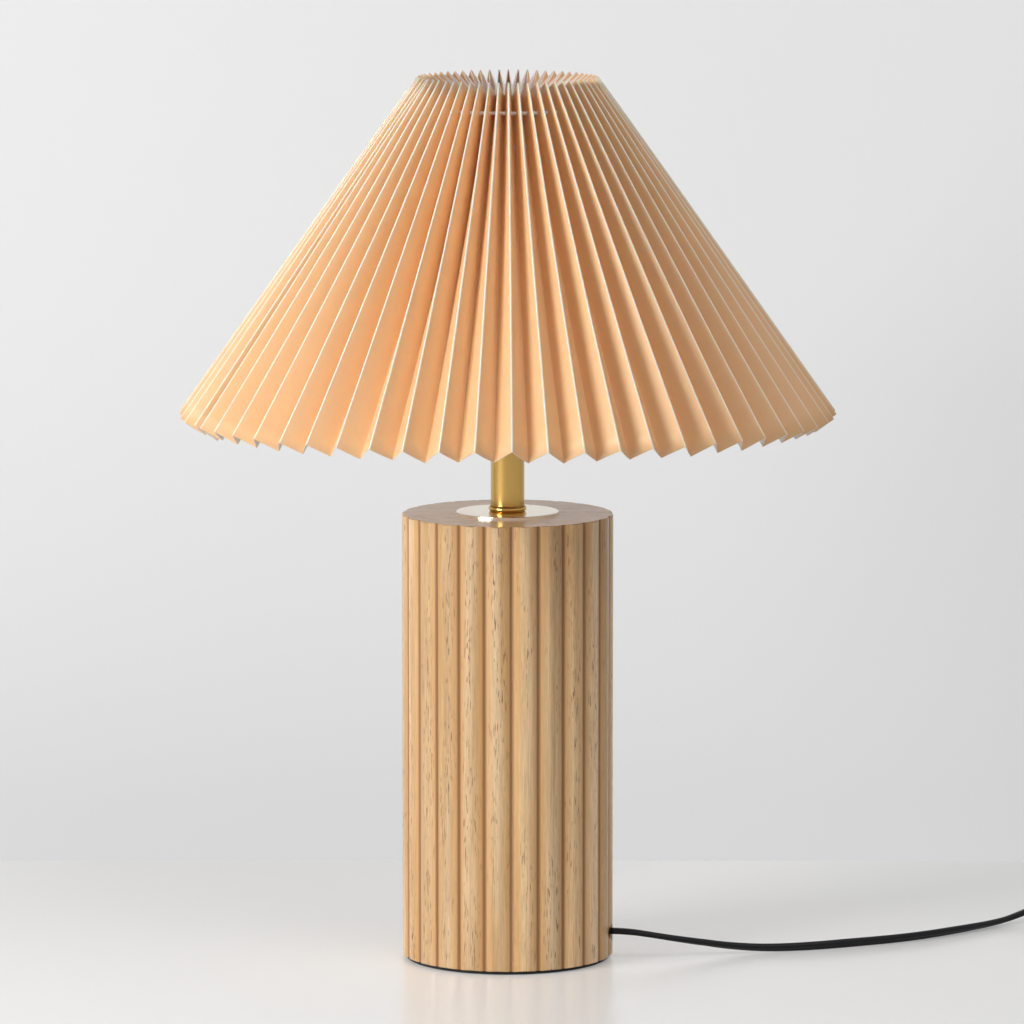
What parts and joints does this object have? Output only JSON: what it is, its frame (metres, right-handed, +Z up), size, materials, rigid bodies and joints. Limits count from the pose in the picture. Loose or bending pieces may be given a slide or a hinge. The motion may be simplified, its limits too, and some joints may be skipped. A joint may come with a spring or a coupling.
{
  "type": "pleated paper table lamp",
  "caption": "Table lamp with a pleated paper cone shade on a brass neck and a fluted wooden column, with a flat cord, in-line switch and plug.",
  "frame": {"origin": "on the table under the axis of the column, at the underside of its pad", "axes": "+Z up along the column, -Y the front of the lamp, +X the side where the cord leaves it"},
  "size_m": [0.6117, 0.3502, 0.4736],
  "materials": {
    "oak": "oiled, open pores",
    "foam": "matt foam",
    "zinc": "zinc plated",
    "polished_brass": "polished",
    "satin_brass": "satin",
    "contact_brass": "bright, plain",
    "holder_black": "moulded, satin",
    "ceramic": "unglazed white",
    "white_wire": "powder coated",
    "shade_paper": "folded, faint sheen",
    "thread": "twisted thread",
    "tip_metal": "tinned",
    "cap_insulator": "smooth",
    "cap_metal": "rolled",
    "bulb_plastic": "smooth white",
    "led": "phosphor",
    "diffuser": "frosted",
    "cord_black": "extruded, satin",
    "core_sleeve": "extruded",
    "stop_plastic": "moulded",
    "tie_plastic": "flat band",
    "switch_black": "moulded, fine texture",
    "plug_black": "moulded, fine texture",
    "nickel": "nickel plated"
  },
  "bodies": {
    "lamp": {"fluted_column": "oak", "base_pad": "foam", "threaded_pipe": "zinc", "bottom_washer": "zinc", "bottom_nut": "zinc", "top_plate": "polished_brass", "neck_collar": "satin_brass", "neck_tube": "satin_brass", "neck_cap": "satin_brass", "lock_nut": "zinc", "holder_lower": "holder_black", "holder_skirt": "holder_black", "holder_insert": "ceramic", "screw_shell": "contact_brass", "centre_contact": "contact_brass", "terminals": "contact_brass", "terminal_screws": "zinc", "shade_ring_nut": "holder_black", "shade_carrier": "white_wire", "inner_cord": "cord_black", "cord_stop": "stop_plastic", "core_leads": "core_sleeve", "cord_coil": "cord_black", "coil_ties": "tie_plastic", "switch_lower_case": "switch_black", "switch_upper_case": "switch_black", "switch_pin": "zinc", "switch_contacts": "contact_brass", "switch_screws": "zinc", "plug_sleeve": "plug_black", "plug_body": "plug_black", "plug_pins": "nickel", "cord_to_switch": "cord_black", "cord_to_coil": "cord_black", "cord_to_plug": "cord_black"},
    "shade": {"pleated_shade": "shade_paper", "gathering_thread": "thread"},
    "bulb_tip": {"bulb_tip": "tip_metal"},
    "bulb": {"bulb_insulator": "cap_insulator", "bulb_screw_cap": "cap_metal", "bulb_housing": "bulb_plastic", "bulb_board": "cap_metal", "bulb_leds": "led", "bulb_globe": "diffuser"},
    "rocker": {"switch_rocker": "switch_black"}
  },
  "joints": [
    {"name": "shade_lift", "type": "slide", "parent": "lamp", "child": "shade", "axis": [0, 0, 1], "range_m": [0, 0.17]},
    {"name": "bulb_rise", "type": "slide", "parent": "lamp", "child": "bulb_tip", "axis": [0, 0, 1], "range_m": [0, 0.0182]},
    {"name": "bulb_turn", "type": "hinge", "parent": "bulb_tip", "child": "bulb", "pos_m": [0, 0, 0.4], "axis": [0, 0, 1], "range_deg": [0, 1800]},
    {"name": "switch_rocker", "type": "hinge", "parent": "lamp", "child": "rocker", "pos_m": [0.33785, 0.13313, 0.0118], "axis": [-0.5592, 0.829, 0], "range_deg": [0, 16]}
  ],
  "couplings": [
    {"joint": "bulb_rise", "follows": "bulb_turn", "m_per_rad": 0.00057757}
  ]
}
